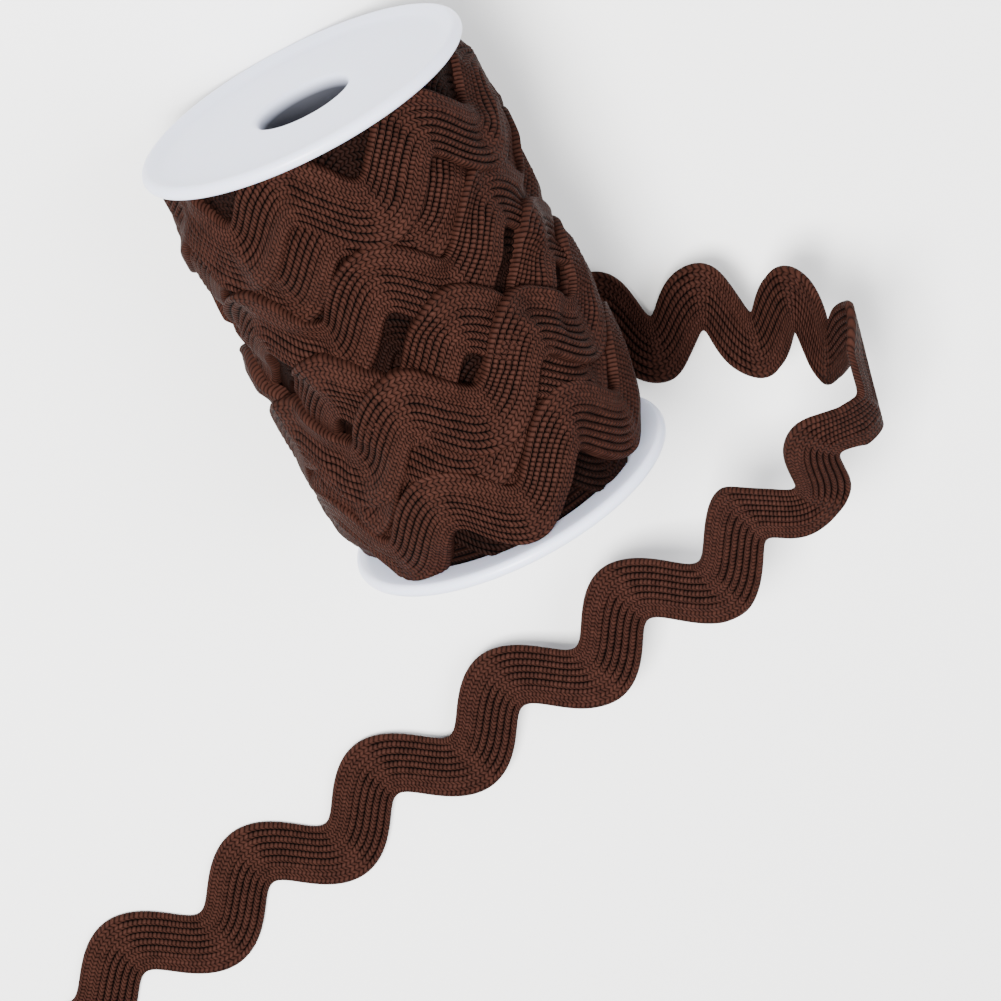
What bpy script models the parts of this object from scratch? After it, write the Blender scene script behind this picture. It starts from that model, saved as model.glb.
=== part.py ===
"""Roll of ric rac: a flanged plastic spool wound with wavy braid, and the braid's loose end.

Metres, +Z up. The roll lies on its side on the floor, z = 0, with its axis along Y. The origin is
on the floor under the middle of the roll, on the winding's small flat spot. The loose end leaves
the underside of the roll, rises to the right in an open curl, turns over and runs back along the
floor past the roll's far end.
"""

import math

import bmesh
import bpy
import numpy as np

# Spool
FLANGE_RADIUS = 0.0300
FLAT_DEPTH = 0.0003  # how much of the rims is flattened where the roll lies on the floor
AXIS_HEIGHT = FLANGE_RADIUS - FLAT_DEPTH
SPOOL_HALF_LENGTH = 0.0417
FLANGE_INNER_FACE = 0.0393
WEB_FACE = 0.0405  # outer face of the flange's thin web, below the rim's raised lip
RIM_ROUND = 0.0012
TUBE_RADIUS = 0.0099
BORE_RADIUS = 0.0084
MOUTH_ROUND = 0.0012
SPOOL_SIDES = 72

# Braid: its centre line swings from side to side, and each edge bulges at its own crests
SWING = 0.0046
HALF_WIDTH = 0.0062  # at a crest, square to the braid's run
CREST_BULGE = 0.0018
BAND_THICKNESS = 0.0016
BAND_CROWN = 0.0003  # how much lower the band's edges lie than its middle

# Winding: a tight core, and turns of braid laid over it one after another
GAP = 0.0004
CORE_RADIUS = 0.0252
CORE_TAPER = 0.015  # growth of the core's radius along the axis, thinner at the end near the loose end
TURN_RADIUS = 0.0285  # radius at which distances round the roll are measured
TURN_LENGTH = 2 * math.pi * TURN_RADIUS
WAVES_A_TURN = 7
TURN_THICKNESS = 0.0013
LARGEST_RADIUS = 0.0299
WINDING_END = FLANGE_INNER_FACE - GAP
# The roll's small flat spot: half its size round the roll and along it, and how high the braid is
# built up there before the floor flattens it
FLAT_AROUND = 0.0040
FLAT_ALONG = 0.0110
FLAT_RADIUS = 0.0300
# One row for each turn, the innermost first. height is its middle's place along the axis on the
# roll's upper side, climb is how much that rises for each metre to the right there, and crest is
# the distance round the roll from its top line to a crest of the wave.
TURN_COLUMNS = ("height", "climb", "crest")
INNER_TURNS = (
    (0.0300, 0.02, 0.0020),
    (0.0165, -0.03, 0.0110),
    (0.0035, 0.04, -0.0060),
    (-0.0095, -0.05, 0.0060),
    (-0.0215, 0.03, -0.0100),
    (-0.0300, -0.02, 0.0080),
)
OUTER_TURNS = (
    (0.0235, 0.02, -0.0060),
    (-0.0275, 0.02, 0.0150),
    (-0.0160, 0.10, 0.0110),
    (0.0112, 0.05, -0.0035),
    (-0.0022, 0.09, 0.0045),
    (-0.0105, 0.07, -0.0095),
    (-0.0290, 0.09, -0.0115),
    (0.0310, -0.04, -0.0105),
)

# Grid on which the turns are stacked, and the coarser one of the winding's solid
GRID_ROUND = 358
GRID_ALONG = 156
SOLID_ROUND = 100
SOLID_ALONG = 38

# Loose end: its middle line from the underside of the roll to the cut end, as x, y and height. It
# bends about one level axis, and its wave has a crest on the side of +Y at each of CREST_RUNS.
ROUTE = (
    (0.0135, -0.0270, 0.0010),
    (0.0195, -0.0295, 0.0014),
    (0.0280, -0.0320, 0.0026),
    (0.0350, -0.0345, 0.0042),
    (0.0420, -0.0365, 0.0065),
    (0.0495, -0.0395, 0.0100),
    (0.0560, -0.0415, 0.0145),
    (0.0610, -0.0435, 0.0195),
    (0.0645, -0.0465, 0.0255),
    (0.0655, -0.0505, 0.0320),
    (0.0605, -0.0550, 0.0370),
    (0.0512, -0.0608, 0.0365),
    (0.0386, -0.0698, 0.0295),
    (0.0253, -0.0752, 0.0210),
    (0.0120, -0.0805, 0.0135),
    (-0.0020, -0.0845, 0.0088),
    (-0.0160, -0.0880, 0.0053),
    (-0.0450, -0.0936, 0.0018),
    (-0.0735, -0.0981, 0.0008),
    (-0.1025, -0.1021, 0.0008),
    (-0.1245, -0.1046, 0.0008),
)
FOLD_AXIS_TURN = math.radians(8.9)  # from the roll's axis
CREST_RUNS = (
    -0.0035, 0.0155, 0.0345, 0.0520, 0.0665, 0.0870, 0.1100,
    0.1410, 0.1710, 0.2005, 0.2295, 0.2590, 0.2885,
)
LOOSE_SWING = 0.0048
LOOSE_HALF_WIDTH = 0.0066
# Past its highest place the strip tips about its own run, the edge nearer the roll upwards
TIP_ANGLE = math.radians(26.0)
TIP_RUN = 0.0900
TIP_REACH = 0.0200
END_STEPS = 180


def material(name, colour, roughness):
    """A plain Principled material."""
    made = bpy.data.materials.new(name)
    made.use_nodes = True
    shader = made.node_tree.nodes["Principled BSDF"]
    shader.inputs["Base Color"].default_value = (*colour, 1.0)
    shader.inputs["Roughness"].default_value = roughness
    shader.inputs["Metallic"].default_value = 0.0
    return made


def smooth_object(name, mesh, finish):
    """An object of the mesh, shaded smooth between its sharp edges."""
    mesh.materials.append(finish)
    mesh.shade_smooth()
    mesh.set_sharp_from_angle(angle=math.radians(40))
    made = bpy.data.objects.new(name, mesh)
    bpy.context.scene.collection.objects.link(made)
    return made


def closed_tube(name, rings, closed_round, finish):
    """A solid skinned over rings of points. The rings join in a loop, or the two end rings are capped."""
    count, sides = rings.shape[:2]
    mesh = bpy.data.meshes.new(name)
    faces = []
    for i in range(count if closed_round else count - 1):
        here = i * sides
        after = (i + 1) % count * sides
        for j in range(sides):
            k = (j + 1) % sides
            faces.append((here + j, here + k, after + k, after + j))
    if not closed_round:
        faces.append(tuple(range(sides))[::-1])
        faces.append(tuple((count - 1) * sides + j for j in range(sides)))
    mesh.from_pydata([tuple(p) for p in rings.reshape(-1, 3)], [], faces)
    work = bmesh.new()
    work.from_mesh(mesh)
    bmesh.ops.recalc_face_normals(work, faces=work.faces)
    work.to_mesh(mesh)
    work.free()
    return smooth_object(name, mesh, finish)


def arc(centre, radius, start, end, steps):
    """Points of a round corner in the plane of radius and height, angles in degrees."""
    turns = [math.radians(start + (end - start) * i / steps) for i in range(steps + 1)]
    return [(centre[0] + radius * math.cos(t), centre[1] + radius * math.sin(t)) for t in turns]


def spool_profile():
    """The spool's cut outline as (radius, place along the axis), one end and then its mirror image."""
    rim = (FLANGE_RADIUS - RIM_ROUND, SPOOL_HALF_LENGTH - RIM_ROUND)
    end = [(TUBE_RADIUS, FLANGE_INNER_FACE)]
    end += [(FLANGE_RADIUS - RIM_ROUND, FLANGE_INNER_FACE)]
    end += arc(rim, RIM_ROUND, -30, 120, 5)
    end += [(FLANGE_RADIUS - 0.0030, WEB_FACE + 0.0002)]
    end += [(FLANGE_RADIUS - 0.0045, WEB_FACE)]
    end += [(BORE_RADIUS + 0.0040, WEB_FACE - 0.0001)]
    mouth = (BORE_RADIUS + MOUTH_ROUND, WEB_FACE - 0.0002 - MOUTH_ROUND)
    end += arc(mouth, MOUTH_ROUND, 90, 180, 3)
    return end + [(radius, -along) for radius, along in reversed(end)]


def lay_flat(points):
    """The points with what lies below the floor raised to it."""
    points[:, 2] = np.maximum(points[:, 2], 0.0)
    return points


def spool(finish):
    """The one-piece plastic spool, turned about the Y axis and flattened on the floor."""
    profile = spool_profile()
    rings = np.empty((SPOOL_SIDES, len(profile), 3))
    for i in range(SPOOL_SIDES):
        turn = 2 * math.pi * i / SPOOL_SIDES
        for j, (radius, along) in enumerate(profile):
            rings[i, j] = (radius * math.sin(turn), along, AXIS_HEIGHT + radius * math.cos(turn))
    lay_flat(rings.reshape(-1, 3))
    return closed_tube("spool", rings, True, finish)


def braid_point(phase, run, share, swing, half_width):
    """Places along and beside the run of a point of the band: share is -1 and 1 at its two edges."""
    return run + share * CREST_BULGE * np.sin(phase), swing * np.cos(phase) + share * half_width


def blurred(field, reach):
    """The field averaged twice over a few cells each way. It is a loop round the roll and ends along it."""
    for _ in range(2):
        field = sum(np.roll(field, step, axis=0) for step in range(-reach, reach + 1)) / (2 * reach + 1)
        padded = np.pad(field, ((0, 0), (reach, reach)), mode="edge")
        width = field.shape[1]
        field = sum(padded[:, step : step + width] for step in range(2 * reach + 1)) / (2 * reach + 1)
    return field


def spread(field, reach):
    """The largest value within a few cells each way."""
    found = field
    for step in range(1, reach + 1):
        found = np.maximum(found, np.maximum(np.roll(field, step, axis=0), np.roll(field, -step, axis=0)))
    grown = found
    padded = np.pad(found, ((0, 0), (reach, reach)), mode="edge")
    for step in range(2 * reach + 1):
        grown = np.maximum(grown, padded[:, step : step + field.shape[1]])
    return grown


def turn_points(turn, phase, share):
    """Points of a turn's band, as distance round the roll and place along its axis."""
    height, climb, crest = turn
    run = phase * TURN_LENGTH / (2 * math.pi * WAVES_A_TURN)
    ahead, side = braid_point(phase, run, share, SWING, HALF_WIDTH)
    around = crest + ahead
    # A turn climbs on the upper side and comes back on the lower side, so it closes on itself.
    return around, height + climb * TURN_RADIUS * np.sin(around / TURN_RADIUS) + side


def stacked_turns(turns):
    """Radius of the winding's surface on a grid round the roll and along it, with all turns laid on."""
    core = CORE_RADIUS + CORE_TAPER * np.linspace(-WINDING_END, WINDING_END, GRID_ALONG)
    field = np.tile(core, (GRID_ROUND, 1))
    step_round = TURN_LENGTH / GRID_ROUND
    step_along = 2 * WINDING_END / (GRID_ALONG - 1)
    phase = np.linspace(0, 2 * math.pi * WAVES_A_TURN, 160 * WAVES_A_TURN, endpoint=False)
    shares = np.linspace(-1, 1, 61)
    for turn in turns:
        share = np.full(field.shape, 2.0)  # how far off its middle the band covers each cell
        for place in sorted(shares, key=abs, reverse=True):
            around, along = turn_points(turn, phase, place)
            rows = np.round(around / step_round).astype(int) % GRID_ROUND
            columns = np.round((along + WINDING_END) / step_along).astype(int)
            shown = (columns >= 0) & (columns < GRID_ALONG)
            share[rows[shown], columns[shown]] = abs(place)
        base = np.maximum(blurred(spread(field, 2), 3), field)
        top = base + TURN_THICKNESS - BAND_CROWN * share**2
        field = np.where(share <= 1.0, top, field)
    return np.minimum(field, LARGEST_RADIUS)


def with_flat_spot(field):
    """The field built up about the middle of the roll's underside, where it lies on the floor."""
    around = np.abs(np.arange(GRID_ROUND) / GRID_ROUND - 0.5)[:, None] * TURN_LENGTH
    along = np.abs(np.linspace(-WINDING_END, WINDING_END, GRID_ALONG))[None, :]
    fall = 0.4 * (np.maximum(around - FLAT_AROUND, 0) + np.maximum(along - FLAT_ALONG, 0))
    return np.maximum(field, FLAT_RADIUS - fall)


def winding(finish):
    """The wound braid as one ring, with the surface of its outer turns."""
    field = with_flat_spot(blurred(stacked_turns(INNER_TURNS + OUTER_TURNS), 1))
    inner = TUBE_RADIUS + GAP
    rings = np.empty((SOLID_ROUND, SOLID_ALONG + 2, 3))
    for i in range(SOLID_ROUND):
        turn = 2 * math.pi * i / SOLID_ROUND
        row = field[round(i * GRID_ROUND / SOLID_ROUND) % GRID_ROUND]
        places = np.linspace(0, GRID_ALONG - 1, SOLID_ALONG)
        radii = np.interp(places, np.arange(GRID_ALONG), row)
        alongs = np.linspace(-WINDING_END, WINDING_END, SOLID_ALONG)
        radii = np.concatenate([[inner], radii, [inner]])
        alongs = np.concatenate([[-WINDING_END], alongs, [WINDING_END]])
        rings[i] = np.stack(
            [radii * math.sin(turn), alongs, AXIS_HEIGHT + radii * math.cos(turn)], axis=1
        )
    lay_flat(rings.reshape(-1, 3))
    return closed_tube("winding", rings, True, finish)


def through(points, steps):
    """A smooth curve through the points, a few steps for each span."""
    points = np.array(points, dtype=float)
    first, last = 2 * points[0] - points[1], 2 * points[-1] - points[-2]
    a, b, c, d = (np.concatenate([[first], points, [last]])[i : i + len(points) - 1] for i in range(4))
    t = np.linspace(0, 1, steps, endpoint=False).reshape((1, -1) + (1,) * (points.ndim - 1))
    a, b, c, d = (part[:, None] for part in (a, b, c, d))
    spans = 2 * b + (c - a) * t + (2 * a - 5 * b + 4 * c - d) * t**2 + (3 * b - 3 * c + d - a) * t**3
    return np.concatenate([0.5 * spans.reshape((-1,) + points.shape[1:]), points[-1:]])


def route_frame():
    """The loose end's middle line, its length so far, how far it leads along the fold axis, and that axis."""
    line = through(ROUTE, 40)
    lengths = np.concatenate([[0], np.cumsum(np.linalg.norm(np.diff(line, axis=0), axis=1))])
    along = np.gradient(line, lengths, axis=0)
    axis = np.array([-math.sin(FOLD_AXIS_TURN), -math.cos(FOLD_AXIS_TURN), 0.0])
    lead = np.arcsin(along @ axis / np.linalg.norm(along, axis=1))
    return line, lengths, lead, axis


def strip_points(run, side, lift):
    """Points of the bent strip, from places along its run and to its side, lifted off its middle layer."""
    line, lengths, lead, axis = route_frame()
    ahead = run + side * np.tan(np.interp(run, lengths, lead))
    turned = np.interp(ahead, lengths, lead)
    on_line = np.stack([np.interp(ahead, lengths, line[:, i]) for i in range(3)], axis=-1)
    along = np.gradient(line, lengths, axis=0)
    tangent = np.stack([np.interp(ahead, lengths, along[:, i]) for i in range(3)], axis=-1)
    tip = TIP_ANGLE * np.exp(-(((ahead - TIP_RUN) / TIP_REACH) ** 2))
    across = -axis * np.cos(tip)[:, None] + np.array([0.0, 0.0, 1.0]) * np.sin(tip)[:, None]
    outward = np.cross(across, tangent)
    outward /= np.linalg.norm(outward, axis=1)[:, None]
    return on_line + (side / np.cos(turned))[:, None] * across + lift * outward


def loose_end(finish):
    """The strip of braid that comes off the roll, bent about the fold axis."""
    spacing = through(CREST_RUNS, 60)
    phases = 2 * math.pi * np.arange(len(spacing)) / 60
    length = route_frame()[1][-1]
    phase = np.interp(np.linspace(0, length, END_STEPS), spacing, phases)
    run = np.interp(phase, phases, spacing)
    rings = []
    for share, face in ((1, -1), (0, -1), (-1, -1), (-1, 1), (0, 1), (1, 1)):
        ahead, side = braid_point(phase, run, share, LOOSE_SWING, LOOSE_HALF_WIDTH)
        lift = face * (BAND_THICKNESS / 2 - (BAND_CROWN if share and face > 0 else 0.0))
        rings.append(strip_points(ahead, side, lift))
    rings = np.stack(rings, axis=1)
    lay_flat(rings.reshape(-1, 3))
    return closed_tube("loose_end", rings, False, finish)


def main():
    for existing in list(bpy.data.objects):
        bpy.data.objects.remove(existing)
    plastic = material("white_plastic", (0.83, 0.84, 0.86), 0.35)
    braid = material("brown_braid", (0.085, 0.030, 0.018), 0.85)
    spool(plastic)
    winding(braid)
    loose_end(braid)


main()
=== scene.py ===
"""Roll of ric rac: a flanged plastic spool wound with wavy braid, and the braid's loose end.

Metres, +Z up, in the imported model's frame: the roll lies on its side on the floor, z = 0, with its
axis along Y. Each turn of braid that is laid on the roll is a ribbon of its own, draped over those
laid before it. The camera looks down from nearly overhead with a long lens.
"""

import math

import bpy
import numpy as np
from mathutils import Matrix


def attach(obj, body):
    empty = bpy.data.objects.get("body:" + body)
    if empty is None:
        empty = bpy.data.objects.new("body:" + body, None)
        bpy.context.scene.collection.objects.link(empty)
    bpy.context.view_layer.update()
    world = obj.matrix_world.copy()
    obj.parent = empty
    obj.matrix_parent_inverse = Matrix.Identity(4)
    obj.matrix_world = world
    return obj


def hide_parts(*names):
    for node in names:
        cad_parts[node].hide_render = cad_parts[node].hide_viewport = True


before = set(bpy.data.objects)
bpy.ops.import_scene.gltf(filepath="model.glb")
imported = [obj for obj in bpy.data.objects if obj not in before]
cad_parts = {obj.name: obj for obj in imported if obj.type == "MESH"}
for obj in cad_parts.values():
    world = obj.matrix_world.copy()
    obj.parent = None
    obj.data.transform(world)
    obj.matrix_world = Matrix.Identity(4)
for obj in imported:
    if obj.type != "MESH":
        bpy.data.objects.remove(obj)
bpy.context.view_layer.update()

# Spool
FLANGE_RADIUS = 0.0300
FLAT_DEPTH = 0.0003  # how much of the rims is flattened where the roll lies on the floor
AXIS_HEIGHT = FLANGE_RADIUS - FLAT_DEPTH
SPOOL_HALF_LENGTH = 0.0417
FLANGE_INNER_FACE = 0.0393
WEB_FACE = 0.0405
RIM_ROUND = 0.0012
RIM_ANGLES = (-75, 110)  # degrees, from the flange's inner side over the rim to the lip's inner side
INNER_FACE_RING = 0.0022  # how far in from the rim the flange's inner face has a ring of points
# The lip's fall to the flat web, as distance in from the rim and height over the web
LIP_STEPS = ((0.0030, 0.0004), (0.0038, 0.0001), (0.0050, 0.0))
# The web's slight fall to the bore, as distance out from the bore and depth below the web
WEB_STEPS = ((0.0070, 0.0), (0.0026, 0.00005))
TUBE_RADIUS = 0.0099
BORE_RADIUS = 0.0084
MOUTH_ROUND = 0.0012
MOUTH_DEPTH = 0.0001
HOLE_REACH = BORE_RADIUS + 0.0003  # faces nearer the axis than this belong to the hole
SPOOL_SIDES = 240
SHARP_ANGLE = math.radians(35)

# Braid: its centre line swings from side to side, and each edge bulges at its own crests
SWING = 0.0046
HALF_WIDTH = 0.0062
CREST_BULGE = 0.0018
BAND_THICKNESS = 0.0016
EDGE_SHARE = 0.12  # the outer share of each half that rounds down to the edge
EDGE_STEPS = (0.0, 0.06, 0.2)  # the band's outermost points, as shares of that rounded edge
COLUMNS = 9  # columns of stitches across the band
STITCH = 0.00078
RIB_DEPTH = 0.00065  # depth of the grooves between the raised columns
WEAVE_DEPTH = 0.00008  # and between the others
RIDGE_POWER = 0.8  # lower for fuller columns
RELIEF_FADE = 0.07  # the share of each half, at its very edge, over which the grooves fade out
# The ribs start where the wave's slope passes RIB_START and are full at RIB_GROWTH more. The ribbed
# half reaches past the middle of the band, with a soft border.
RIB_START = 0.1
RIB_GROWTH = 0.4
RIB_OVERLAP = 0.42
RIB_BORDER = 0.16

# Winding: a core, and turns of braid laid over it one after another
CORE_RADIUS = 0.0252
CORE_TAPER = 0.015
TURN_RADIUS = 0.0285  # radius at which distances round the roll are measured
TURN_LENGTH = 2 * math.pi * TURN_RADIUS
WAVES_A_TURN = 7
TURN_THICKNESS = 0.0013
LARGEST_RADIUS = 0.0303
WINDING_END = FLANGE_INNER_FACE - 0.0002
FLANGE_FALL = 0.9  # how steeply a ribbon turns down where a flange stops it
LEAST_RADIUS = CORE_RADIUS - 0.002
FLOOR_GAP = 0.0002
HEM_DROP = 0.0012  # how far a ribbon's edge reaches below what it lies on
# One row for each turn, the innermost first: height, climb and crest. height is its middle's place
# along the axis on the roll's upper side, climb is how much that rises for each metre to the right
# there, and crest is the distance round the roll from its top line to a crest of the wave.
INNER_TURNS = (
    (0.0300, 0.02, 0.0020),
    (0.0165, -0.03, 0.0110),
    (0.0035, 0.04, -0.0060),
    (-0.0095, -0.05, 0.0060),
    (-0.0215, 0.03, -0.0100),
    (-0.0300, -0.02, 0.0080),
)
OUTER_TURNS = (
    (0.0235, 0.02, -0.0060),
    (-0.0275, 0.02, 0.0150),
    (-0.0160, 0.10, 0.0110),
    (0.0112, 0.05, -0.0035),
    (-0.0022, 0.09, 0.0045),
    (-0.0105, 0.07, -0.0095),
    (-0.0290, 0.09, -0.0115),
    (0.0310, -0.04, -0.0105),
)
# The height of what is laid so far is kept in cells round and along the roll. A new ribbon bridges
# the steps in it, by the largest height within SPREAD_CELLS, averaged over BLUR_CELLS.
GRID_ROUND = 480
GRID_ALONG = 212
SPREAD_CELLS = 2
BLUR_CELLS = 3
MARKS_A_WAVE = 200  # places along and across a ribbon that are marked in the cells
MARKS_ACROSS = 81
UNCOVERED = 2.0  # the mark of a cell that the ribbon doesn't cover
TURN_ROWS = 330
BAND_COLUMNS = 61
CORE_SIDES = 180
CORE_ROWS = 30
CORE_LIFT = 0.0002
CORE_GAP = 0.0003  # from the spool's tube
CORE_COLUMN = 0.0014

# Loose end: its middle line from the underside of the roll to the cut end, as x, y and height. It
# bends about one level axis, and its wave has a crest on the side of +Y at each of CREST_RUNS.
ROUTE = (
    (0.0135, -0.0270, 0.0010),
    (0.0195, -0.0295, 0.0014),
    (0.0280, -0.0320, 0.0026),
    (0.0350, -0.0345, 0.0042),
    (0.0420, -0.0365, 0.0065),
    (0.0495, -0.0395, 0.0100),
    (0.0560, -0.0415, 0.0145),
    (0.0610, -0.0435, 0.0195),
    (0.0645, -0.0465, 0.0255),
    (0.0655, -0.0505, 0.0320),
    (0.0605, -0.0550, 0.0370),
    (0.0512, -0.0608, 0.0365),
    (0.0386, -0.0698, 0.0295),
    (0.0253, -0.0752, 0.0210),
    (0.0120, -0.0805, 0.0135),
    (-0.0020, -0.0845, 0.0088),
    (-0.0160, -0.0880, 0.0053),
    (-0.0450, -0.0936, 0.0018),
    (-0.0735, -0.0981, 0.0008),
    (-0.1025, -0.1021, 0.0008),
    (-0.1245, -0.1046, 0.0008),
)
FOLD_AXIS_TURN = math.radians(8.9)  # from the roll's axis
CREST_RUNS = (
    -0.0035, 0.0155, 0.0345, 0.0520, 0.0665, 0.0870, 0.1100,
    0.1410, 0.1710, 0.2005, 0.2295, 0.2590, 0.2885,
)
LOOSE_SWING = 0.0048
LOOSE_HALF_WIDTH = 0.0066
EDGE_LEFT = 0.12  # the share of its thickness that the strip has at its very edge
# Past its highest place the strip tips about its own run, the edge nearer the roll upwards
TIP_ANGLE = math.radians(26.0)
TIP_RUN = 0.0900
TIP_REACH = 0.0200
END_TRIM = 0.0045  # how much shorter the strip is cut than its route
END_ROWS = 700
ROUTE_STEPS = 40  # points of the smooth curve for each span of the route
CREST_STEPS = 60  # and for each wave

# Colours, linear
BRAID_DARK = (0.0010, 0.0004, 0.0003)
BRAID_LIGHT = (0.0345, 0.0128, 0.0090)
INNER_PAINTED_SHADE = 0.3  # painted shade: the colours of the inner turns and the core, as a share of the outer ones'
PLASTIC = ((0.60, 0.64, 0.79), (0.64, 0.68, 0.83))
# The colour that painted shade in the spool's hole darkens towards
HOLE_PAINTED_SHADE = (0.03, 0.03, 0.037)
FLOOR = ((0.86, 0.86, 0.86), (0.88, 0.88, 0.88))

# Stitches. Each pair below is the value in the plain half of the weave and in the ribbed half.
STITCH_SLANT = 0.55
STITCH_ROUND = 0.55  # a power, lower for a fuller stitch
SIDE_GAP_POWER = (6.0, 3.5)
SIDE_GAP_DEPTH = (0.4, 1.3)
MIDDLE_GAP_POWER = 7.0
MIDDLE_GAP_DEPTH = (0.45, 0.15)
# Where each point's colour lies between dark and light: a base, and shares of three fields
LEVEL_BASE = -0.08
# painted shade: the share by height darkens the gaps between stitches; chance and cloud are uneven tone
LEVEL_BY_HEIGHT_PAINTED_SHADE = 0.78
LEVEL_BY_CHANCE = 0.25
LEVEL_BY_CLOUD = 0.35
STITCH_BUMP = 0.00022

# Plastic
PLASTIC_SHINE = 0.5
HOLE_SHINE = 0.08
HOLE_PAINTED_SHADE_START = WEB_FACE - 0.0005  # place along the axis from which painted shade darkens the hole
HOLE_PAINTED_SHADE_RATE = 450.0  # how much painted shade the hole gains for each metre of depth
HOLE_PAINTED_SHADE_MOST = 0.95

# Each lamp's name, place, width, watts and colour, and the light from all round
LIGHTS = (
    ("key", (-0.28, 0.16, 0.85), 0.35, 30.0, (1.0, 0.99, 0.97)),
    ("fill", (0.50, -0.10, 0.75), 0.7, 8.0, (0.97, 0.98, 1.0)),
)
ROOM_LIGHT = 1.0
FLOOR_REACH = 3
FLOOR_DROP = 1e-5

# Camera, fitted to the two flanges
CAMERA_PLACE = (0.0, 0.230717, 0.678709)
CAMERA_TURN = (-20.347, -10.3226, -26.253)  # degrees about X, Y and Z
CAMERA_LENS = 143.86  # mm, on a sensor 36 mm wide


def smooth(share):
    """0 below 0, 1 above 1, and smooth between."""
    share = np.clip(share, 0.0, 1.0)
    return share * share * (3 - 2 * share)


def grid_mesh(name, points, stitches, closed_round, finish, capped=False):
    """A surface over rows of points, which may close into a tube with flat caps on its two ends.
    stitches is each point's place in the weave."""
    rows, columns = points.shape[:2]
    index = np.arange(rows * columns).reshape(rows, columns)
    if closed_round:
        index = np.concatenate([index, index[:, :1]], axis=1)
    corners = (index[:-1, :-1], index[:-1, 1:], index[1:, 1:], index[1:, :-1])
    faces = np.stack(corners, axis=-1).reshape(-1, 4)
    if capped:
        near = np.arange(columns // 2 - 1)
        cap = np.stack([near, near + 1, columns - 2 - near, columns - 1 - near], axis=-1)
        faces = np.concatenate([faces, cap[:, ::-1], cap + (rows - 1) * columns])
    mesh = bpy.data.meshes.new(name)
    mesh.from_pydata(points.reshape(-1, 3).tolist(), [], faces.tolist())
    if stitches is not None:
        layer = mesh.attributes.new("stitches", "FLOAT_VECTOR", "POINT")
        layer.data.foreach_set("vector", stitches.reshape(-1))
    mesh.materials.append(finish)
    mesh.shade_smooth()
    made = bpy.data.objects.new(name, mesh)
    bpy.context.scene.collection.objects.link(made)
    return made


def arc(centre, radius, start, end, steps):
    """Points of a round corner in the plane of radius and height, angles in degrees."""
    turns = [math.radians(start + (end - start) * i / steps) for i in range(steps + 1)]
    return [(centre[0] + radius * math.cos(t), centre[1] + radius * math.sin(t)) for t in turns]


def spool_profile():
    """The spool's cut outline as (radius, place along the axis), one end and then its mirror image."""
    rim = (FLANGE_RADIUS - RIM_ROUND, SPOOL_HALF_LENGTH - RIM_ROUND)
    end = [(radius, FLANGE_INNER_FACE) for radius in (TUBE_RADIUS, FLANGE_RADIUS - INNER_FACE_RING, rim[0])]
    end += arc(rim, RIM_ROUND, *RIM_ANGLES, 14)
    end += [(FLANGE_RADIUS - inward, WEB_FACE + height) for inward, height in LIP_STEPS]
    end += [(BORE_RADIUS + outward, WEB_FACE - depth) for outward, depth in WEB_STEPS]
    mouth = (BORE_RADIUS + MOUTH_ROUND, WEB_FACE - MOUTH_DEPTH - MOUTH_ROUND)
    end += arc(mouth, MOUTH_ROUND, 90, 180, 8)
    return end + [(radius, -along) for radius, along in reversed(end)]


def spool(finish, hole_finish):
    """The one-piece plastic spool, turned about the Y axis and flattened on the floor."""
    profile = np.array(spool_profile())
    turn = np.linspace(0, 2 * math.pi, SPOOL_SIDES + 1)[:, None]
    radius = profile[None, :, 0]
    along = np.broadcast_to(profile[None, :, 1], (len(turn), len(profile)))
    points = np.stack([radius * np.sin(turn), along, AXIS_HEIGHT + radius * np.cos(turn)], axis=-1)
    points[..., 2] = np.maximum(points[..., 2], 0.0)
    made = grid_mesh("spool_visual", points[:, ::-1], None, True, finish)
    made.data.set_sharp_from_angle(angle=SHARP_ANGLE)
    made.data.materials.append(hole_finish)
    for face in made.data.polygons:
        if math.hypot(face.center.x, face.center.z - AXIS_HEIGHT) < HOLE_REACH:
            face.material_index = 1
    return made


def braid_point(phase, run, share, swing, half_width):
    """Places along and beside the run of a point of the band: share is -1 and 1 at its two edges."""
    return run + share * CREST_BULGE * np.sin(phase), swing * np.cos(phase) + share * half_width


def shares_across():
    """Places across the band, from one edge to the other, closer together where it rounds down."""
    inner = np.linspace(-1 + EDGE_SHARE / 2, 1 - EDGE_SHARE / 2, BAND_COLUMNS - 2 * len(EDGE_STEPS))
    outer = 1 - EDGE_SHARE * np.array(EDGE_STEPS)
    return np.concatenate([-outer, inner, outer[::-1]])


def edge_round(share):
    """How much of its full thickness the band has, 1 over most of its width."""
    beyond = np.clip((np.abs(share) - (1 - EDGE_SHARE)) / EDGE_SHARE, 0, 1)
    return np.sqrt(np.maximum(1 - beyond**2, 0.0))


def raised(phase, share):
    """How far the columns stand up as ribs: on the way to each crest, those on the crest's side do."""
    toward = -np.sin(phase)
    steep = smooth((np.abs(toward) - RIB_START) / RIB_GROWTH)
    return steep * smooth((share * np.sign(toward) + RIB_OVERLAP) / RIB_BORDER)


def relief(phase, share):
    """Depth of the weave below the band's face, none at its very edges."""
    ridge = np.abs(np.sin(math.pi * (share + 1) / 2 * COLUMNS)) ** RIDGE_POWER
    depth = WEAVE_DEPTH + (RIB_DEPTH - WEAVE_DEPTH) * raised(phase, share)
    return depth * (1 - ridge) * np.clip((1 - np.abs(share)) / RELIEF_FADE, 0, 1)


def weave_place(phase, share, run, swing):
    """Stitches along the band's own middle line, columns across it, and how far those stand up."""
    middle = np.stack([run[:, 0], swing * np.cos(phase[:, 0])], axis=-1)
    steps = np.linalg.norm(np.diff(middle, axis=0), axis=1)
    stitch = np.concatenate([[0], np.cumsum(steps)]) / STITCH
    column = (share[0] + 1) / 2 * COLUMNS
    first, second = np.meshgrid(stitch, column, indexing="ij")
    return np.stack([first, second, raised(phase, share)], axis=-1)


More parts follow.
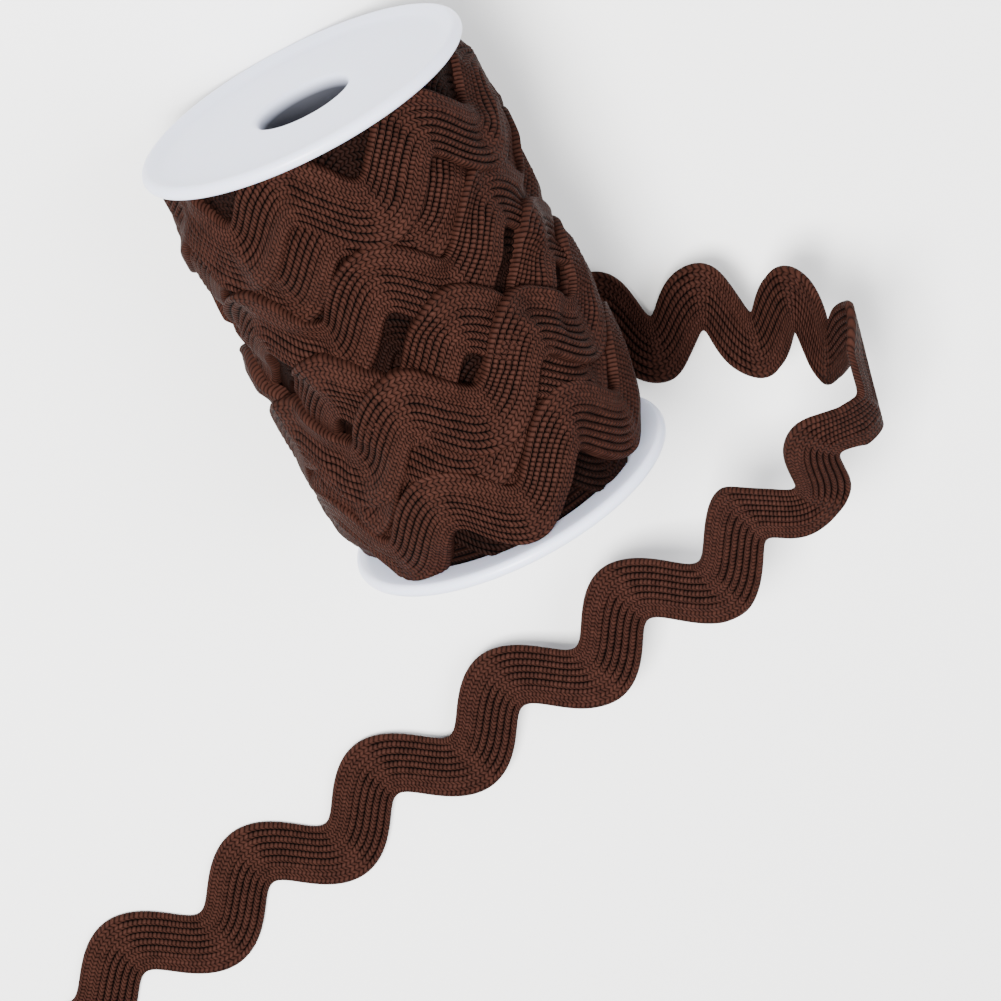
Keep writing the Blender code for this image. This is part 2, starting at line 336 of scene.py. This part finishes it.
def blurred(field, reach):
    """The field averaged twice over a few cells each way. It is a loop round the roll and ends along it."""
    for _ in range(2):
        field = sum(np.roll(field, step, axis=0) for step in range(-reach, reach + 1)) / (2 * reach + 1)
        padded = np.pad(field, ((0, 0), (reach, reach)), mode="edge")
        width = field.shape[1]
        field = sum(padded[:, step : step + width] for step in range(2 * reach + 1)) / (2 * reach + 1)
    return field


def spread(field, reach):
    """The largest value within a few cells each way."""
    found = field
    for step in range(1, reach + 1):
        found = np.maximum(found, np.maximum(np.roll(field, step, axis=0), np.roll(field, -step, axis=0)))
    padded = np.pad(found, ((0, 0), (reach, reach)), mode="edge")
    for step in range(2 * reach + 1):
        found = np.maximum(found, padded[:, step : step + field.shape[1]])
    return found


def turn_run(phase):
    """Distance round the roll at a phase of a turn's wave."""
    return phase * TURN_LENGTH / (2 * math.pi * WAVES_A_TURN)


def turn_points(turn, phase, share):
    """Points of a turn's band, as distance round the roll and place along its axis."""
    height, climb, crest = turn
    ahead, side = braid_point(phase, turn_run(phase), share, SWING, HALF_WIDTH)
    around = crest + ahead
    # A turn climbs on the upper side and comes back on the lower side, so it closes on itself.
    return around, height + climb * TURN_RADIUS * np.sin(around / TURN_RADIUS) + side


def sampled(field, around, along):
    """The field's value at places on the roll, blended between its cells."""
    row = around / TURN_LENGTH * GRID_ROUND
    column = np.clip((along + WINDING_END) / (2 * WINDING_END), 0, 1) * (GRID_ALONG - 1)
    low_row, low_column = np.floor(row).astype(int), np.floor(column).astype(int)
    part_row, part_column = row - low_row, column - low_column
    high_row, high_column = (low_row + 1) % GRID_ROUND, np.minimum(low_column + 1, GRID_ALONG - 1)
    low_row = low_row % GRID_ROUND
    near = field[low_row, low_column] * (1 - part_column) + field[low_row, high_column] * part_column
    far = field[high_row, low_column] * (1 - part_column) + field[high_row, high_column] * part_column
    return near * (1 - part_row) + far * part_row


def on_roll(around, along, radius):
    """Points in the frame from places on the roll. The band turns down where a flange stops it."""
    past = np.maximum(np.abs(along) - WINDING_END, 0.0)
    radius = np.maximum(radius - FLANGE_FALL * past, LEAST_RADIUS)
    along = np.clip(along, -WINDING_END, WINDING_END)
    turn = around / TURN_RADIUS
    points = [radius * np.sin(turn), along, AXIS_HEIGHT + radius * np.cos(turn)]
    points = np.stack(np.broadcast_arrays(*points), axis=-1)
    points[..., 2] = np.maximum(points[..., 2], FLOOR_GAP)
    return points


def laid_turns(painted_shade_finish, finish):
    """Every turn as a ribbon, each draped over those before it."""
    core = CORE_RADIUS + CORE_TAPER * np.linspace(-WINDING_END, WINDING_END, GRID_ALONG)
    field = np.tile(core, (GRID_ROUND, 1))
    across = shares_across()
    half_turn = math.pi * WAVES_A_TURN
    phase = np.linspace(-half_turn, half_turn, TURN_ROWS + 1)[:, None]  # its ends meet below the roll
    dense_phase = np.linspace(-half_turn, half_turn, MARKS_A_WAVE * WAVES_A_TURN, endpoint=False)
    share = np.broadcast_to(across[None, :], (len(phase), len(across)))
    run = np.broadcast_to(turn_run(phase), share.shape)
    place = weave_place(phase, share, run, SWING)
    place = np.concatenate([place[:, :1], place, place[:, -1:]], axis=1)
    made = []
    for number, turn in enumerate(INNER_TURNS + OUTER_TURNS):
        base = np.maximum(blurred(spread(field, SPREAD_CELLS), BLUR_CELLS), field)
        around, along = turn_points(turn, phase, share)
        under = sampled(base, around, along)
        top = np.minimum(under + TURN_THICKNESS, LARGEST_RADIUS)
        face = under + (top - under) * edge_round(share) - relief(phase, share)
        points = on_roll(around, along, face)
        hem = on_roll(around, along, under - HEM_DROP)
        points = np.concatenate([hem[:, :1], points, hem[:, -1:]], axis=1)
        # The inner turns take the copy of the braid that is darkened with painted shade.
        used = painted_shade_finish if number < len(INNER_TURNS) else finish
        made.append(grid_mesh(f"turn_{number + 1}", points, place, False, used))
        # Each cell under the ribbon is marked with how far from its middle it lies, 1 at its edges.
        covered = np.full(field.shape, UNCOVERED)
        for at in sorted(np.linspace(-1, 1, MARKS_ACROSS), key=abs, reverse=True):
            around, along = turn_points(turn, dense_phase, at)
            rows = np.round(around / TURN_LENGTH * GRID_ROUND).astype(int) % GRID_ROUND
            columns = np.round((along + WINDING_END) / (2 * WINDING_END) * (GRID_ALONG - 1)).astype(int)
            shown = (columns >= 0) & (columns < GRID_ALONG)
            covered[rows[shown], columns[shown]] = abs(at)
        laid = base + TURN_THICKNESS * edge_round(np.minimum(covered, 1.0))
        field = np.where(covered <= 1.0, np.minimum(laid, LARGEST_RADIUS), field)
    return made


def core(finish):
    """The wound braid below the turns that are laid one by one, as a plain ring."""
    turn = np.linspace(0, 2 * math.pi, CORE_SIDES + 1)[:, None]
    along = np.linspace(-WINDING_END, WINDING_END, CORE_ROWS)
    radius = CORE_RADIUS + CORE_TAPER * along + CORE_LIFT
    radius = np.concatenate([[TUBE_RADIUS + CORE_GAP], radius, [TUBE_RADIUS + CORE_GAP]])[None, :]
    along = np.concatenate([[-WINDING_END], along, [WINDING_END]])
    along = np.broadcast_to(along[None, :], (len(turn), len(along)))
    points = np.stack([radius * np.sin(turn), along, AXIS_HEIGHT + radius * np.cos(turn)], axis=-1)
    place = np.stack([turn * TURN_RADIUS / STITCH + 0 * along, along / CORE_COLUMN, 0 * along], axis=-1)
    return grid_mesh("core", points, place, False, finish)


def through(points, steps):
    """A smooth curve through the points, a few steps for each span."""
    points = np.array(points, dtype=float)
    first, last = 2 * points[0] - points[1], 2 * points[-1] - points[-2]
    a, b, c, d = (np.concatenate([[first], points, [last]])[i : i + len(points) - 1] for i in range(4))
    t = np.linspace(0, 1, steps, endpoint=False).reshape((1, -1) + (1,) * (points.ndim - 1))
    a, b, c, d = (part[:, None] for part in (a, b, c, d))
    spans = 2 * b + (c - a) * t + (2 * a - 5 * b + 4 * c - d) * t**2 + (3 * b - 3 * c + d - a) * t**3
    return np.concatenate([0.5 * spans.reshape((-1,) + points.shape[1:]), points[-1:]])


def route_frame():
    """The loose end's middle line, its length so far, its lead along the fold axis, and that axis."""
    line = through(ROUTE, ROUTE_STEPS)
    lengths = np.concatenate([[0], np.cumsum(np.linalg.norm(np.diff(line, axis=0), axis=1))])
    along = np.gradient(line, lengths, axis=0)
    axis = np.array([-math.sin(FOLD_AXIS_TURN), -math.cos(FOLD_AXIS_TURN), 0.0])
    lead = np.arcsin(along @ axis / np.linalg.norm(along, axis=1))
    return line, lengths, lead, axis


def strip_points(run, side, lift):
    """Points of the bent strip, from places along its run and to its side, lifted off its middle layer."""
    line, lengths, lead, axis = route_frame()
    ahead = run + side * np.tan(np.interp(run, lengths, lead))
    turned = np.interp(ahead, lengths, lead)
    on_line = np.stack([np.interp(ahead, lengths, line[:, i]) for i in range(3)], axis=-1)
    along = np.gradient(line, lengths, axis=0)
    tangent = np.stack([np.interp(ahead, lengths, along[:, i]) for i in range(3)], axis=-1)
    tip = TIP_ANGLE * np.exp(-(((ahead - TIP_RUN) / TIP_REACH) ** 2))
    across = -axis * np.cos(tip)[..., None] + np.array([0.0, 0.0, 1.0]) * np.sin(tip)[..., None]
    outward = np.cross(across, tangent)
    outward /= np.linalg.norm(outward, axis=-1)[..., None]
    return on_line + (side / np.cos(turned))[..., None] * across + lift[..., None] * outward


def loose_end(finish):
    """The strip of braid that comes off the roll, bent about the fold axis, with both its faces."""
    spacing = through(CREST_RUNS, CREST_STEPS)
    phases = 2 * math.pi * np.arange(len(spacing)) / CREST_STEPS
    length = route_frame()[1][-1]
    phase = np.interp(np.linspace(0, length - END_TRIM, END_ROWS), spacing, phases)[:, None]
    run = np.interp(phase, phases, spacing)
    across = shares_across()
    share = np.broadcast_to(np.concatenate([across, across[::-1]])[None, :], (END_ROWS, 2 * len(across)))
    face = np.repeat([1.0, -1.0], len(across))[None, :]
    ahead, side = braid_point(phase, run, share, LOOSE_SWING, LOOSE_HALF_WIDTH)
    half = BAND_THICKNESS / 2
    lift = face * (half * (EDGE_LEFT + (1 - EDGE_LEFT) * edge_round(share)) - relief(phase, share))
    points = strip_points(ahead, side, lift)
    points[..., 2] = np.maximum(points[..., 2], 0.0)
    place = weave_place(phase, share, np.broadcast_to(run, share.shape), LOOSE_SWING)
    made = grid_mesh("loose_end_visual", points[:, ::-1], place[:, ::-1], True, finish, True)
    return made, length


def node_maker(material):
    """Two functions: one adds a shader node and sets its inputs by number or name, and returns it. The
    other adds a maths node and returns its output."""
    nodes, links = material.node_tree.nodes, material.node_tree.links

    def add(kind, inputs, **settings):
        node = nodes.new(kind)
        for key, value in settings.items():
            setattr(node, key, value)
        for number, value in inputs.items():
            if isinstance(value, bpy.types.NodeSocket):
                links.new(value, node.inputs[number])
            else:
                node.inputs[number].default_value = value
        return node

    def maths(operation, *values):
        return add("ShaderNodeMath", dict(enumerate(values)), operation=operation).outputs[0]

    return add, maths


def braid_material(name, dark, light):
    """Woven braid: slanted stitches that meet in the middle of each column, a little uneven in colour."""
    material = bpy.data.materials.new(name)
    material.use_nodes = True
    add, maths = node_maker(material)
    shader = material.node_tree.nodes["Principled BSDF"]
    place = add("ShaderNodeAttribute", {}, attribute_name="stitches").outputs["Vector"]
    parts = add("ShaderNodeSeparateXYZ", {0: place})
    stitch, column, ribbed = parts.outputs

    def by_ribs(pair):
        return maths("MULTIPLY_ADD", ribbed, pair[1] - pair[0], pair[0])

    off_middle = maths("MULTIPLY", maths("ABSOLUTE", maths("SUBTRACT", maths("FRACT", column), 0.5)), 2.0)
    slanted = maths("MULTIPLY_ADD", off_middle, STITCH_SLANT, stitch)
    bead = maths("ABSOLUTE", maths("SINE", maths("MULTIPLY", slanted, math.pi)))
    bead = maths("POWER", bead, STITCH_ROUND)
    side_gap = maths("POWER", off_middle, by_ribs(SIDE_GAP_POWER))
    side_gap = maths("MULTIPLY", side_gap, by_ribs(SIDE_GAP_DEPTH))
    from_edge = maths("MINIMUM", column, maths("SUBTRACT", COLUMNS, column))
    side_gap = maths("MULTIPLY", side_gap, maths("MINIMUM", maths("MULTIPLY", from_edge, 3.0), 1.0))
    middle_gap = maths("POWER", maths("SUBTRACT", 1.0, off_middle), MIDDLE_GAP_POWER)
    middle_gap = maths("MULTIPLY", middle_gap, by_ribs(MIDDLE_GAP_DEPTH))
    gaps = maths("ADD", side_gap, middle_gap)
    height = maths("SUBTRACT", bead, gaps)
    half = maths("FLOOR", maths("MULTIPLY", column, 2.0))
    cell = add("ShaderNodeCombineXYZ", {0: maths("FLOOR", slanted), 1: half, 2: 0.0}).outputs[0]
    chance = add("ShaderNodeTexWhiteNoise", {0: cell}, noise_dimensions="3D").outputs["Value"]
    cloud = add("ShaderNodeTexNoise", {"Scale": 60.0, "Detail": 2.0}).outputs["Fac"]
    # painted shade: the colour darkens where the weave is low, in the gaps between stitches
    level = maths("MULTIPLY_ADD", height, LEVEL_BY_HEIGHT_PAINTED_SHADE, LEVEL_BASE)
    level = maths("MULTIPLY_ADD", chance, LEVEL_BY_CHANCE, level)
    level = maths("ADD", level, maths("MULTIPLY", maths("SUBTRACT", cloud, 0.5), LEVEL_BY_CLOUD))
    ramp = add("ShaderNodeValToRGB", {0: level})
    ramp.color_ramp.elements[0].color = (*dark, 1.0)
    ramp.color_ramp.elements[1].color = (*light, 1.0)
    bump = add("ShaderNodeBump", {"Strength": 0.9, "Distance": STITCH_BUMP, "Height": height})
    links = material.node_tree.links
    links.new(ramp.outputs[0], shader.inputs["Base Color"])
    links.new(bump.outputs[0], shader.inputs["Normal"])
    shader.inputs["Roughness"].default_value = 0.6
    shader.inputs["Specular IOR Level"].default_value = 0.02
    return material


def plastic_material(name, shine, in_hole):
    """Smooth white plastic, slightly cool, with a faint uneven gloss. In the hole, painted shade darkens it
    with depth.
    """
    material = bpy.data.materials.new(name)
    material.use_nodes = True
    add, maths = node_maker(material)
    shader = material.node_tree.nodes["Principled BSDF"]
    links = material.node_tree.links
    place = add("ShaderNodeTexCoord", {}).outputs["Object"]
    cloud = add("ShaderNodeTexNoise", {"Vector": place, "Scale": 90.0, "Detail": 3.0}).outputs["Fac"]
    ramp = add("ShaderNodeValToRGB", {0: cloud})
    for stop, tint in zip(ramp.color_ramp.elements, PLASTIC):
        stop.color = (*tint, 1.0)
    colour = ramp.outputs[0]
    # painted shade: deeper in the hole, the colour darkens
    if in_hole:
        along = add("ShaderNodeSeparateXYZ", {0: place}).outputs[1]
        depth = maths("SUBTRACT", HOLE_PAINTED_SHADE_START, maths("ABSOLUTE", along))
        shade = maths("MINIMUM", maths("MULTIPLY", depth, HOLE_PAINTED_SHADE_RATE), HOLE_PAINTED_SHADE_MOST)
        inputs = {0: shade, 6: colour, 7: (*HOLE_PAINTED_SHADE, 1.0)}
        colour = add("ShaderNodeMix", inputs, data_type="RGBA").outputs[2]
    links.new(colour, shader.inputs["Base Color"])
    links.new(maths("MULTIPLY_ADD", cloud, 0.08, 0.30), shader.inputs["Roughness"])
    shader.inputs["Specular IOR Level"].default_value = shine
    shader.inputs["Subsurface Weight"].default_value = 0.0 if in_hole else 0.15
    shader.inputs["Subsurface Scale"].default_value = 0.002
    return material


def floor_material():
    """A plain pale surface."""
    material = bpy.data.materials.new("floor_visual")
    material.use_nodes = True
    add, _ = node_maker(material)
    shader = material.node_tree.nodes["Principled BSDF"]
    cloud = add("ShaderNodeTexNoise", {"Scale": 3.0, "Detail": 1.0}).outputs["Fac"]
    ramp = add("ShaderNodeValToRGB", {0: cloud})
    for stop, tint in zip(ramp.color_ramp.elements, FLOOR):
        stop.color = (*tint, 1.0)
    material.node_tree.links.new(ramp.outputs[0], shader.inputs["Base Color"])
    shader.inputs["Roughness"].default_value = 0.9
    return material


def area_light(name, place, size, power, colour):
    """A large soft light that faces the roll."""
    light = bpy.data.lights.new(name, "AREA")
    light.shape = "SQUARE"
    light.size = size
    light.energy = power
    light.color = colour
    made = bpy.data.objects.new(name, light)
    made.location = place
    made.rotation_euler = made.location.to_track_quat("Z", "Y").to_euler()
    bpy.context.scene.collection.objects.link(made)


def studio():
    """The floor, the lights and the camera."""
    mesh = bpy.data.meshes.new("floor")
    signs = ((-1, -1), (1, -1), (1, 1), (-1, 1))
    corners = [(x * FLOOR_REACH, y * FLOOR_REACH, -FLOOR_DROP) for x, y in signs]
    mesh.from_pydata(corners, [], [(0, 1, 2, 3)])
    mesh.materials.append(floor_material())
    floor = bpy.data.objects.new("floor", mesh)
    bpy.context.scene.collection.objects.link(floor)
    world = bpy.data.worlds.new("studio")
    world.use_nodes = True
    world.node_tree.nodes["Background"].inputs[0].default_value = (1.0, 1.0, 1.0, 1.0)
    world.node_tree.nodes["Background"].inputs[1].default_value = ROOM_LIGHT
    bpy.context.scene.world = world
    for lamp in LIGHTS:
        area_light(*lamp)
    data = bpy.data.cameras.new("camera")
    data.lens = CAMERA_LENS
    data.sensor_width = 36.0
    data.clip_start = 0.01
    camera = bpy.data.objects.new("camera", data)
    camera.location = CAMERA_PLACE
    camera.rotation_euler = [math.radians(angle) for angle in CAMERA_TURN]
    bpy.context.scene.collection.objects.link(camera)
    bpy.context.scene.camera = camera


def main():
    """The spool, the braid on it, its loose end, and the studio round them."""
    braid = braid_material("brown_braid_visual", BRAID_DARK, BRAID_LIGHT)
    # The inner turns and the core get a copy of the braid that is darkened with painted shade.
    painted_shade_colours = [[INNER_PAINTED_SHADE * part for part in colour] for colour in (BRAID_DARK, BRAID_LIGHT)]
    painted_shade_braid = braid_material("brown_braid_painted_shade", *painted_shade_colours)
    plastic = plastic_material("white_plastic_visual", PLASTIC_SHINE, False)
    body = spool(plastic, plastic_material("white_plastic_hole_painted_shade", HOLE_SHINE, True))
    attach(body, "root")
    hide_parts("spool")
    ring = core(painted_shade_braid)
    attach(ring, "root")
    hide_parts("winding")
    for ribbon in laid_turns(painted_shade_braid, braid):
        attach(ribbon, "root")
    strip, length = loose_end(braid)
    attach(strip, "root")
    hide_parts("loose_end")
    studio()


main()
